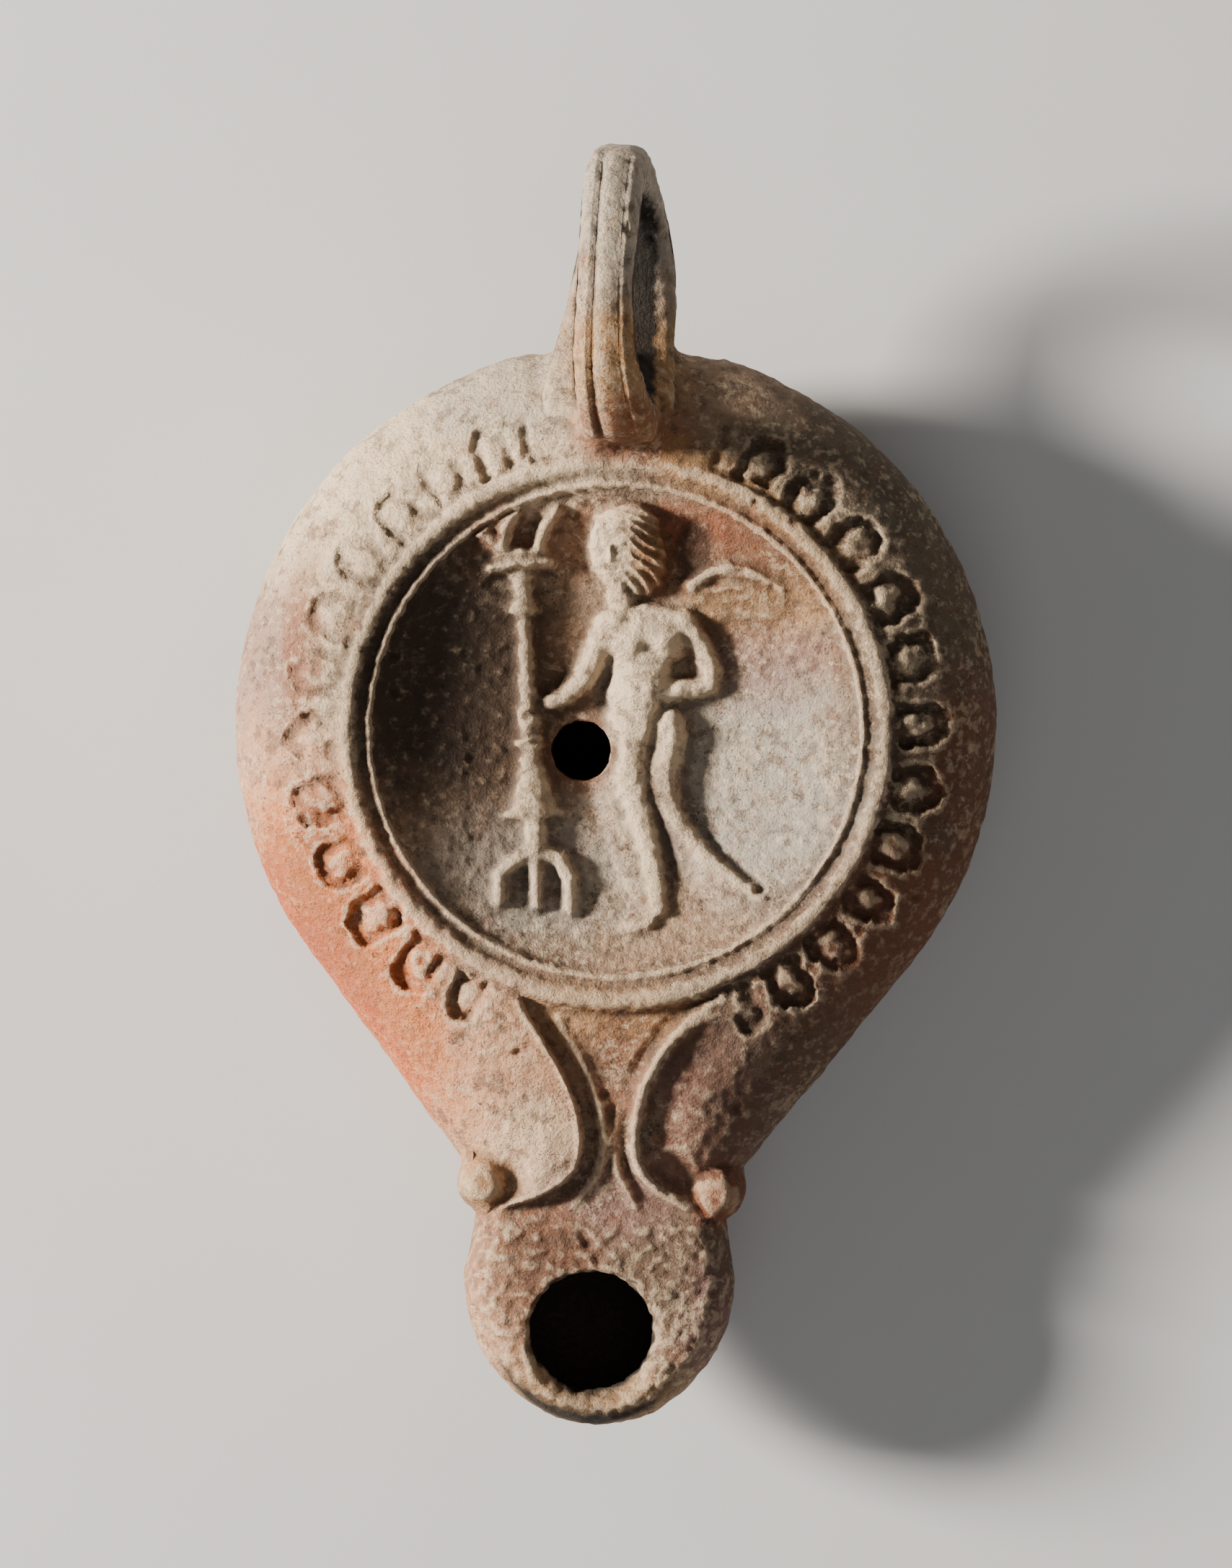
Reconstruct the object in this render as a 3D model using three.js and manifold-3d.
// A Roman moulded oil lamp: a hollow round body, a rounded nozzle held between two volutes,
// a dished discus with a figure beside a lampstand, a band of egg ornament and a ring handle.
// It is one piece of fired clay, so the whole lamp is one solid with an oil chamber inside.
//
// Millimetres, +Z up. The origin is the middle of the base's underside, the nozzle points
// along -Y and the handle along +Y. Plan positions on the discus are seen from above.
import * as THREE from "three";
import { mergeVertices } from "three/addons/utils/BufferGeometryUtils.js";
import Module from "manifold-3d";

const wasm = await Module();
wasm.setup();

// ---- driving dimensions ------------------------------------------------------------------

const BODY_R = 40; // round body at its widest
const BODY_Y = 0.8; // its centre lies a little behind the discus's centre
const WIDEST_Z = 15; // level of the widest outline, all the way round
const RIM_R = 28.8; // outer edge of the ring that frames the discus
const SHOULDER_Z = 25.3; // level that the shoulder rises towards at the rim
const NOZZLE_Z = 21.8; // level of the nozzle's top before its plate is sunk
const WALL = 3; // clay thickness
const BASE_R = 22; // flat base
const FOOT_H = 1.1; // height of the base's step
const FILL_HOLE = { x: -3.5, y: -2.1, r: 3 };
const WICK_HOLE = { x: 0, y: -62.4, r: 6.2, bevel: 0.7 };

const CHEEK_END = new THREE.Vector2(15.0, -44.6); // where a cheek stops, above the volute knob
const NOZZLE = { y: -57.1, halfWidth: 14.3, length: 15.6, start: 0.32 }; // half ellipse, start in rad
const ROUND_STEPS = 36; // outline steps round the body
const SIDE_STEPS = [8, 1, 4]; // outline steps round the nozzle's side, past the notch and up the cheek

// ---- small tools -------------------------------------------------------------------------

const { lerp, smoothstep, clamp } = THREE.MathUtils;
const sum = (solids) => solids.reduce((a, b) => a.add(b));

// A closed three.js geometry as a manifold-3d solid.
function solid(geometry, matrix = new THREE.Matrix4()) {
  const bare = new THREE.BufferGeometry().setAttribute("position", geometry.attributes.position.clone());
  bare.setIndex(geometry.index);
  const merged = mergeVertices(bare.applyMatrix4(matrix), 1e-4);
  return new wasm.Manifold(
    new wasm.Mesh({
      numProp: 3,
      vertProperties: merged.attributes.position.array,
      triVerts: new Uint32Array(merged.index.array),
    }),
  );
}

// A manifold-3d solid as a three.js geometry.
function geometryOf(manifold) {
  const mesh = manifold.getMesh();
  const geometry = new THREE.BufferGeometry()
    .setAttribute("position", new THREE.BufferAttribute(mesh.vertProperties, 3))
    .setIndex(new THREE.BufferAttribute(mesh.triVerts, 1));
  geometry.computeVertexNormals();
  return geometry;
}

// The matrix that puts a shape at a place, turned by Euler angles and stretched.
function placed(position, rotation = [0, 0, 0], scale = [1, 1, 1]) {
  const turn = new THREE.Quaternion().setFromEuler(new THREE.Euler(...rotation));
  return new THREE.Matrix4().compose(position, turn, new THREE.Vector3(...scale));
}

// A closed solid through rings of the same number of points, with a pole at each end.
function ringStack(firstPole, rings, lastPole) {
  const count = rings[0].length;
  const points = [firstPole, ...rings.flat(), lastPole];
  const at = (ring, j) => 1 + ring * count + (j % count);
  const index = [];
  for (let j = 0; j < count; j++) {
    index.push(0, at(0, j), at(0, j + 1));
    for (let ring = 0; ring + 1 < rings.length; ring++) {
      index.push(at(ring, j), at(ring + 1, j), at(ring + 1, j + 1));
      index.push(at(ring, j), at(ring + 1, j + 1), at(ring, j + 1));
    }
    index.push(points.length - 1, at(rings.length - 1, j + 1), at(rings.length - 1, j));
  }
  return new THREE.BufferGeometry().setFromPoints(points).setIndex(index);
}

// A limb, roll of hair or moulding: a stretch between two points that tapers, with round ends.
function limb(from, to, fromR, toR, sides = 6) {
  const along = new THREE.Vector3().subVectors(to, from);
  const profile = [
    new THREE.Vector2(0, -fromR * 0.9),
    new THREE.Vector2(fromR, 0),
    new THREE.Vector2(toR, along.length()),
    new THREE.Vector2(0, along.length() + toR * 0.9),
  ];
  const turn = new THREE.Quaternion().setFromUnitVectors(new THREE.Vector3(0, 1, 0), along.clone().normalize());
  const matrix = new THREE.Matrix4().compose(from, turn, new THREE.Vector3(1, 1, 1));
  return solid(new THREE.LatheGeometry(profile, sides), matrix);
}

// ---- plan outline ------------------------------------------------------------------------

// The point where the straight cheek leaves the round body, as an angle from the -Y axis.
function cheekAngle() {
  const fromCentre = new THREE.Vector2(CHEEK_END.x, CHEEK_END.y - BODY_Y);
  return Math.atan2(fromCentre.x, -fromCentre.y) + Math.acos(BODY_R / fromCentre.length());
}

// The point of the round body at an angle from the -Y axis.
const onBody = (angle) => new THREE.Vector2(BODY_R * Math.sin(angle), BODY_Y - BODY_R * Math.cos(angle));

// The +X side of the nozzle from its tip up to the round body, with each point's share of the way.
function nozzleSide() {
  const path = new THREE.CurvePath();
  path.add(new THREE.EllipseCurve(0, NOZZLE.y, NOZZLE.halfWidth, NOZZLE.length, -Math.PI / 2, NOZZLE.start));
  path.add(new THREE.LineCurve(path.getPoint(1), CHEEK_END));
  path.add(new THREE.LineCurve(CHEEK_END, onBody(cheekAngle())));
  const reach = [0, ...path.getCurveLengths()].map((length) => length / path.getLength());
  const shares = SIDE_STEPS.flatMap((steps, k) =>
    Array.from({ length: steps }, (_, i) => lerp(reach[k], reach[k + 1], i / steps)),
  );
  return [...shares, 1].map((share) => ({ share, p: path.getPointAt(share) }));
}

// Outline points, anticlockwise from the nozzle's tip, each with the angle of its ray at the rim.
function planOutline() {
  const tangent = cheekAngle();
  const right = nozzleSide().map(({ share, p }) => ({ p, angle: tangent * share }));
  const left = right.slice(1).map(({ p, angle }) => ({ p: new THREE.Vector2(-p.x, p.y), angle: -angle }));
  const round = [];
  for (let i = 1; i < ROUND_STEPS; i++) {
    const angle = tangent + ((2 * Math.PI - 2 * tangent) * i) / ROUND_STEPS;
    round.push({ p: onBody(angle), angle });
  }
  return [...right, ...round, ...left.reverse()];
}

const OUTLINE = planOutline();
const EVERY_OTHER = OUTLINE.filter((_, i) => i % 2 === 0);

// The outline pulled in by a distance along its own normals.
function insetOutline(outline, distance) {
  return outline.map(({ angle }, j) => {
    const before = outline[(j + outline.length - 1) % outline.length].p;
    const after = outline[(j + 1) % outline.length].p;
    const normal = new THREE.Vector2(after.y - before.y, before.x - after.x).normalize();
    return { p: outline[j].p.clone().addScaledVector(normal, -distance), angle };
  });
}

// Distance from a plan point to the outline.
function edgeDistance(x, y) {
  const point = new THREE.Vector3(x, y, 0);
  const near = new THREE.Vector3();
  const edge = new THREE.Line3();
  return OUTLINE.reduce((least, { p }, j) => {
    const q = OUTLINE[(j + 1) % OUTLINE.length].p;
    edge.set(new THREE.Vector3(p.x, p.y, 0), new THREE.Vector3(q.x, q.y, 0));
    return Math.min(least, edge.closestPointToPoint(point, true, near).distanceTo(point));
  }, Infinity);
}

const onCircle = (r, angle) => new THREE.Vector2(r * Math.sin(angle), -r * Math.cos(angle));

// ---- heights -----------------------------------------------------------------------------

const DISH = { r: 24.8, rimZ: 24.3, depth: 5.6, power: 2.3 };

// The dished discus, before its relief.
const dishHeight = (x, y) =>
  DISH.rimZ - DISH.depth * (1 - Math.pow(Math.min(Math.hypot(x, y) / DISH.r, 1), DISH.power));

// The shoulder, the cheeks and the nozzle's top: a rounded edge that flattens inwards.
function topHeight(x, y) {
  const towardsNozzle = smoothstep(-y, 28, 52);
  const level = lerp(SHOULDER_Z, NOZZLE_Z, towardsNozzle);
  const edgeWidth = lerp(14, 6, towardsNozzle);
  const inwards = clamp(edgeDistance(x, y) / edgeWidth, 0, 1);
  return WIDEST_Z + (level - WIDEST_Z) * Math.sqrt(1 - (1 - inwards) ** 2);
}

// The underside, from the base's edge (out = 0) to the widest outline (out = 1).
function undersideHeight(out) {
  const bowl = 1 - Math.pow(1 - Math.pow(out, 2.2), 1 / 2.2);
  return FOOT_H + (WIDEST_Z - FOOT_H) * (0.3 * out + 0.7 * bowl);
}

// ---- body and chamber --------------------------------------------------------------------

// One ring of the body between the rim circle and the outline, with its height by a function.
function ringBetween(outline, innerR, out, height) {
  return outline.map(({ p, angle }) => {
    const q = onCircle(innerR, angle).lerp(p, out);
    return new THREE.Vector3(q.x, q.y, height(q.x, q.y));
  });
}
const circleRing = (outline, r, z) =>
  outline.map(({ angle }) => {
    const q = onCircle(r, angle);
    return new THREE.Vector3(q.x, q.y, z);
  });

// The discus frame, from inside: a thin ridge, a groove and the broad outer ring.
const FRAME_PROFILE = [
  [DISH.r, DISH.rimZ],
  [25.4, 25.1],
  [26.1, 24.5],
  [27.1, 26.0],
  [28.2, 25.9],
];

function outerBody() {
  const dish = [12, 20].map((r) => circleRing(OUTLINE, r, dishHeight(r, 0)));
  const frame = FRAME_PROFILE.map(([r, z]) => circleRing(OUTLINE, r, z));
  const shoulder = [0, 0.52, 0.8, 0.95].map((out) => ringBetween(OUTLINE, RIM_R, out, topHeight));
  const underside = [1, 0.92, 0.65, 0].map((out) =>
    ringBetween(OUTLINE, BASE_R, out, () => undersideHeight(out)),
  );
  const base = [
    [BASE_R - 0.3, 0],
    [18.6, 0],
    [17.9, 0.6],
    [17.2, 0],
  ].map(([r, z]) => circleRing(OUTLINE, r, z));
  const dishCentre = new THREE.Vector3(0, 0, dishHeight(0, 0));
  return solid(
    ringStack(dishCentre, [...dish, ...frame, ...shoulder, ...underside, ...base], new THREE.Vector3(0, 0, 0)),
  );
}

// The oil chamber follows the body a wall's thickness inside it.
function oilChamber() {
  const outline = insetOutline(EVERY_OTHER, WALL);
  const floorR = BASE_R - WALL;
  const underDish = [11, 19, 25].map((r) => circleRing(outline, r, dishHeight(r, 0) - WALL));
  const ceiling = [0.35, 0.8].map((out) =>
    ringBetween(outline, 27.5, out, (x, y) => topHeight(x, y) - WALL - 0.6),
  );
  const floor = [1, 0.85, 0.45, 0].map((out) =>
    ringBetween(outline, floorR, out, () => Math.min(undersideHeight(out) + WALL - FOOT_H / 2, WIDEST_Z)),
  );
  return solid(
    ringStack(
      new THREE.Vector3(0, 0, dishHeight(0, 0) - WALL),
      [...underDish, ...ceiling, ...floor],
      new THREE.Vector3(0, 0, WALL),
    ),
  );
}

// ---- volutes -----------------------------------------------------------------------------

const VOLUTE_START = new THREE.Vector2(9.6, -28.2); // at the rim
const VOLUTE_WAIST = new THREE.Vector2(3.0, -42.4); // nearest to the axis
const VOLUTE_END = new THREE.Vector2(11.2, -51.8); // under the knob
const KNOB = { x: 12.2, y: -48.4, r: 3.1, top: 22.1, depth: 4.6 };
const PLATE_SINK = 0.9; // how far the middle field and the nozzle's plate lie under the cheeks

// The line of one volute's outer ridge, in plan, for the +X side; an inset moves it to the axis.
function voluteLine(inset = 0) {
  const start = new THREE.Vector2(VOLUTE_START.x - inset * 1.3, VOLUTE_START.y);
  const waist = new THREE.Vector2(VOLUTE_WAIST.x - inset, VOLUTE_WAIST.y);
  const end = new THREE.Vector2(VOLUTE_END.x, VOLUTE_END.y - inset);
  const path = new THREE.CurvePath();
  path.add(
    new THREE.CubicBezierCurve(
      start,
      new THREE.Vector2(start.x - 4.2, start.y - 4.6),
      new THREE.Vector2(waist.x, waist.y + 5),
      waist,
    ),
  );
  path.add(
    new THREE.CubicBezierCurve(
      waist,
      new THREE.Vector2(waist.x, waist.y - 5.5),
      new THREE.Vector2(end.x - 5.6, end.y),
      end,
    ),
  );
  return path;
}

// A ridge or groove that follows a plan curve at a height over the body's top.
function bead(path, side, radius, lift, steps) {
  const points = path.getSpacedPoints(steps).map(
    (p) => new THREE.Vector3(side * p.x, p.y, topHeight(p.x, p.y) + lift),
  );
  const section = new THREE.Shape().absarc(0, 0, radius, 0, 2 * Math.PI);
  const geometry = new THREE.ExtrudeGeometry(section, {
    steps,
    curveSegments: 3,
    extrudePath: new THREE.CatmullRomCurve3(points),
  });
  return solid(geometry);
}

// Level of the sunken field between the volutes, which runs on as the nozzle's flat plate.
const plateLevel = (y) => lerp(SHOULDER_Z - 0.2, NOZZLE_Z, smoothstep(-y, 28, 50)) - PLATE_SINK;

// What is cut away over that field, in rows across the lamp.
function plateCut() {
  const beyond = NOZZLE.halfWidth + 4;
  const rows = voluteLine().getSpacedPoints(10);
  rows.push(new THREE.Vector2(beyond, VOLUTE_END.y - 0.6), new THREE.Vector2(beyond, -90));
  const rings = rows.map(({ x, y }) => {
    const level = plateLevel(y);
    const corners = [[-x, level], [-x, 40], [x, 40], [x, level]];
    return corners.map(([across, z]) => new THREE.Vector3(across, y, z));
  });
  return solid(ringStack(new THREE.Vector3(0, rows[0].y, 30), rings, new THREE.Vector3(0, -90, 30)));
}

function knob(side) {
  const ball = new THREE.SphereGeometry(1, 9, 6).rotateX(Math.PI / 2);
  const centre = new THREE.Vector3(side * KNOB.x, KNOB.y, KNOB.top - KNOB.depth);
  return solid(ball, placed(centre, [0, 0, 0], [KNOB.r, KNOB.r, KNOB.depth]));
}

// The hollow where a volute's cheek curls in beside its knob.
function knobHollow(side) {
  const ball = new THREE.SphereGeometry(1, 6, 4);
  return solid(ball, placed(new THREE.Vector3(side * 8.7, -47.3, 22.6), [0, 0, side * 0.5], [2.2, 2.8, 1.9]));
}

// ---- egg ornament ------------------------------------------------------------------------

const EGGS = { around: 32, innerR: 29, outerR: 34.4, halfWidth: 2.5, sink: 0.9, tilt: 0.42 };
const EGG_GAP_FRONT = 0.42; // rad each side of the nozzle's axis with no eggs
const EGG_GAP_BACK = 0.3; // rad each side of the handle's axis with no eggs

// Angles of the eggs, from the -Y axis.
function eggAngles() {
  const pitch = (2 * Math.PI) / EGGS.around;
  return Array.from({ length: EGGS.around }, (_, i) => (i + 0.5) * pitch).filter(
    (a) => Math.min(a, 2 * Math.PI - a) > EGG_GAP_FRONT && Math.abs(a - Math.PI) > EGG_GAP_BACK,
  );
}

// The place of an egg: at a radius and an angle, tilted with the shoulder.
function eggPlace(angle, r, lift, scale) {
  const p = onCircle(r, angle);
  const turn = new THREE.Matrix4().makeRotationZ(angle - Math.PI / 2);
  const tilt = new THREE.Matrix4().makeRotationY(EGGS.tilt);
  const size = new THREE.Matrix4().makeScale(...scale);
  return new THREE.Matrix4()
    .makeTranslation(p.x, p.y, topHeight(p.x, p.y) + lift)
    .multiply(turn)
    .multiply(tilt)
    .multiply(size);
}

// The tongue-shaped bed round an egg, open towards the rim.
function eggBed(angle) {
  const straight = (EGGS.outerR - EGGS.innerR - EGGS.halfWidth) / Math.cos(EGGS.tilt);
  const tongue = new THREE.Shape()
    .moveTo(-straight, -EGGS.halfWidth)
    .lineTo(0, -EGGS.halfWidth)
    .absarc(0, 0, EGGS.halfWidth, -Math.PI / 2, Math.PI / 2)
    .lineTo(-straight, EGGS.halfWidth);
  const block = new THREE.ExtrudeGeometry(tongue, { depth: 4, curveSegments: 2, bevelEnabled: false });
  return solid(block, eggPlace(angle, EGGS.outerR - EGGS.halfWidth, -EGGS.sink, [1, 1, 1]));
}

function egg(angle) {
  const ball = new THREE.SphereGeometry(1, 6, 4).rotateX(Math.PI / 2);
  return solid(ball, eggPlace(angle, 31.3, -EGGS.sink, [2.1, 1.35, 1.15]));
}

// ---- ring handle -------------------------------------------------------------------------

const RING = { y: 43.6, z: 32, outerR: 14.6, thickness: 4.6, stretch: 1.1 }; // longer at the back
const LEAN = { y: 30, z: 28, backwards: 0.05, upwards: 0.055 }; // how the ring leans to -X
const GROOVES = 3;
const STRAP = { back: 2.75, front: 4.5, body: 5.6 }; // half widths: at the back, front root, lower root

// Half width of the strap at an angle round the ring, 0 at the back and a quarter turn at the top.
function strapHalfWidth(round) {
  if (round >= 0) return lerp(STRAP.back, STRAP.front, Math.pow(Math.min(round / 2.8, 1), 0.8));
  return lerp(STRAP.back, STRAP.body, Math.pow(Math.min(-round / 1.75, 1), 1.6));
}

// Section of the strap across its width (x from -1 to 1) and its thickness, grooved outside.
function strapSection() {
  const { outerR, thickness } = RING;
  const crest = (u) => outerR - 0.5 * u * u;
  const outside = [];
  for (let i = 0; i <= 2 * GROOVES; i++) {
    const u = -0.75 + (1.5 * i) / (2 * GROOVES);
    outside.push([u, crest(u) - (i % 2 ? 0.55 : 0)]);
  }
  const inner = outerR - thickness;
  return [[-1, inner + 0.9], [-0.95, outerR - 1.4], ...outside, [0.95, outerR - 1.4], [1, inner + 0.9], [0.6, inner], [-0.6, inner]];
}

function ringHandle() {
  const steps = 22;
  const section = strapSection();
  const points = [];
  const index = [];
  for (let i = 0; i < steps; i++) {
    const turn = (2 * Math.PI * i) / steps;
    const round = turn > (Math.PI * 4) / 3 ? turn - 2 * Math.PI : turn;
    for (const [u, r] of section) {
      const y = RING.y + r * Math.cos(turn) * (Math.cos(turn) > 0 ? RING.stretch : 1);
      const z = RING.z + r * Math.sin(turn);
      const middle = -(y - LEAN.y) * LEAN.backwards - (z - LEAN.z) * LEAN.upwards;
      points.push(new THREE.Vector3(middle + u * strapHalfWidth(round), y, z));
    }
  }
  const n = section.length;
  const at = (i, k) => (i % steps) * n + (k % n);
  for (let i = 0; i < steps; i++)
    for (let k = 0; k < n; k++)
      index.push(at(i, k), at(i + 1, k), at(i + 1, k + 1), at(i, k), at(i + 1, k + 1), at(i, k + 1));
  return solid(new THREE.BufferGeometry().setFromPoints(points).setIndex(index));
}

// The front root spreads from the strap down to the rim.
function handleRoot() {
  const foot = new THREE.Vector3(0, 31.4, SHOULDER_Z - 2);
  const up = new THREE.Vector3(-0.3, 33.2, SHOULDER_Z + 3.4);
  return limb(foot, up, 4.6, 2.7, 10);
}

// ---- discus relief -----------------------------------------------------------------------

// A point of the relief: its plan position and its height over the dish.
const onDish = (x, y, lift = 0) => new THREE.Vector3(x, y, dishHeight(x, y) + lift);

// A chain of limbs through points [x, y, lift, radius].
function chain(stations, sides) {
  const parts = [];
  for (let i = 0; i + 1 < stations.length; i++) {
    const [ax, ay, al, ar] = stations[i];
    const [bx, by, bl, br] = stations[i + 1];
    parts.push(limb(onDish(ax, ay, al), onDish(bx, by, bl), ar, br, sides));
  }
  return parts;
}

function blob(x, y, lift, size, turn = 0, detail = [8, 5]) {
  const ball = new THREE.SphereGeometry(1, ...detail).rotateX(Math.PI / 2);
  return solid(ball, placed(onDish(x, y, lift), [0, 0, turn], size));
}

// The standing winged boy: weight on one leg, one hand on his hip, one held out to the stand.
function boy() {
  const head = [
    blob(0.2, 18.0, 0.8, [3.0, 4.3, 3.0], 0.08),
    blob(1.5, 20.2, 0.5, [4.0, 3.7, 2.9]),
    blob(3.6, 17.2, 0.1, [2.1, 3.4, 2.5]),
  ];
  const trunk = [
    ...chain([[1.7, 14.0, 0.2, 1.7], [2.0, 10.6, 0.2, 2.0]]),
    ...chain([[-0.4, 10.3, 0.1, 1.9], [5.6, 10.9, 0.1, 1.9]]),
    blob(2.4, 8.6, 0.3, [4.2, 3.8, 2.7]),
    blob(2.1, 4.0, 0.3, [3.3, 4.4, 2.7]),
    blob(2.8, 0.0, 0.2, [3.8, 3.2, 2.8]),
  ];
  const outArm = chain([[-0.9, 10.2, 0.2, 1.8], [-3.4, 5.2, 0.4, 1.5], [-5.7, 2.3, 0.5, 1.2]]);
  const hipArm = chain([[6.6, 11.1, 0.1, 1.8], [10.8, 5.1, 0.2, 1.5], [6.4, 3.2, 0.8, 1.3]]);
  const standingLeg = chain([[1.4, -1.4, 0.1, 2.7], [2.7, -8.8, 0.1, 2.1], [4.5, -17.8, 0, 1.4], [2.0, -19.6, -0.2, 1.0]]);
  const freeLeg = chain([[4.4, -0.9, 0.1, 2.6], [6.3, -8.0, 0.1, 2.1], [11.0, -13.8, -0.1, 1.5], [14.4, -16.8, -0.3, 1.0]]);
  return [...head, ...trunk, ...outArm, ...hipArm, ...standingLeg, ...freeLeg];
}

// His wing, spread to the side in three tiers of feathers.
function wing() {
  return [
    ...chain([[7.6, 14.4, -0.5, 1.7], [13.0, 16.2, -0.5, 1.6], [17.4, 14.6, -0.7, 1.1]]),
    ...chain([[8.0, 12.6, -0.7, 1.5], [16.6, 12.2, -0.9, 1.0]]),
    ...chain([[8.4, 10.9, -0.8, 1.3], [15.2, 9.9, -1.0, 0.9]]),
  ];
}

// The lampstand: three curled feet, a flared stem with collars, and a bowl with flames.
const STAND_FOOT = new THREE.Vector2(-6.7, -16.8);
const STAND_TOP = new THREE.Vector2(-10.6, 16.6);
const STAND_PROFILE = [
  // [height along the stand from 0 to 1, radius]
  [0, 1.2],
  [0.13, 1.2],
  [0.17, 3.1],
  [0.2, 3.1],
  [0.23, 1.9],
  [0.38, 1.3],
  [0.44, 1.8],
  [0.54, 1.6],
  [0.57, 1.1],
  [0.82, 0.8],
  [0.89, 1.8],
  [0.93, 0.9],
  [1.0, 2.9],
  [1.04, 2.9],
];

function lampstand() {
  const foot = onDish(STAND_FOOT.x, STAND_FOOT.y);
  const top = onDish(STAND_TOP.x, STAND_TOP.y);
  const along = new THREE.Vector3().subVectors(top, foot);
  const length = along.length();
  const profile = [
    new THREE.Vector2(0, STAND_PROFILE[0][0] * length),
    ...STAND_PROFILE.map(([h, r]) => new THREE.Vector2(r, h * length)),
    new THREE.Vector2(0, STAND_PROFILE.at(-1)[0] * length),
  ];
  const shaft = new THREE.LatheGeometry(profile, 8);
  const position = shaft.attributes.position;
  for (let i = 0; i < position.count; i++) {
    const share = position.getY(i) / length;
    const sag = dishHeight(lerp(foot.x, top.x, share), lerp(foot.y, top.y, share)) - lerp(foot.z, top.z, share);
    position.setZ(i, position.getZ(i) * 0.85 + sag);
  }
  const turn = new THREE.Matrix4().makeRotationZ(Math.atan2(-along.x, along.y));
  const raise = new THREE.Matrix4().makeRotationX(Math.asin(along.z / length));
  const stem = solid(shaft, new THREE.Matrix4().makeTranslation(foot).multiply(turn).multiply(raise));
  const feet = [-1, 0, 1].flatMap((side) => {
    const { x, y } = STAND_FOOT;
    const knee = [x + side * 2.9, y + (side ? 0.3 : -1.4), 0.1, 0.8];
    const toe = [x + side * 3.8, y - 3.4, -0.1, 0.75];
    return chain([[x, y + 1.4, 0.1, 0.8], knee, side ? toe : [x + 0.2, y - 4.2, 0, 0.75]], 6);
  });
  const flames = [-1, 0.05, 1].flatMap((side) => {
    const { x, y } = STAND_TOP;
    const reach = side === 0.05 ? 4.2 : 4.6;
    return chain([[x + side * 1.2, y + 1.8, 0, 1.1], [x + side * 3.0, y + reach, -0.3, 0.7]], 6);
  });
  return [stem, ...feet, ...flames];
}

// ---- assembly ----------------------------------------------------------------------------

const across = (r, x, y, from, to) =>
  solid(
    new THREE.CylinderGeometry(r, r, to - from, 20).rotateX(Math.PI / 2),
    placed(new THREE.Vector3(x, y, (from + to) / 2)),
  );

// The wick hole's worn edge, a shallow cone.
function wickBevel() {
  const { x, y, r, bevel } = WICK_HOLE;
  const top = NOZZLE_Z - PLATE_SINK;
  const cone = new THREE.CylinderGeometry(r + 2 * bevel, r, 2 * bevel, 20).rotateX(Math.PI / 2);
  return solid(cone, placed(new THREE.Vector3(x, y, top)));
}

function lamp() {
  const angles = eggAngles();
  const sides = [-1, 1];
  let clay = outerBody().subtract(plateCut());
  clay = clay.add(sum(sides.map((side) => bead(voluteLine(), side, 0.6, -0.25, 8))));
  clay = clay.add(sum(sides.map((side) => bead(voluteLine(2.0), side, 0.5, -PLATE_SINK, 7))));
  clay = clay.add(sum(sides.map(knob))).subtract(sum(sides.map(knobHollow)));
  clay = clay.subtract(sum(angles.map(eggBed))).add(sum(angles.map(egg)));
  clay = clay.add(ringHandle()).add(handleRoot());
  clay = clay.add(sum([...lampstand(), ...boy(), ...wing()]));
  clay = clay.subtract(oilChamber());
  clay = clay.subtract(across(FILL_HOLE.r, FILL_HOLE.x, FILL_HOLE.y, 10, 30));
  clay = clay.subtract(across(WICK_HOLE.r, WICK_HOLE.x, WICK_HOLE.y, WIDEST_Z - 1, 30)).subtract(wickBevel());
  return clay;
}

const clayMaterial = new THREE.MeshStandardMaterial({ color: 0xb79a80, roughness: 0.9, metalness: 0 });
const lampMesh = new THREE.Mesh(geometryOf(lamp()), clayMaterial);
lampMesh.name = "lamp";

const group = new THREE.Group();
group.add(lampMesh);
export default group;
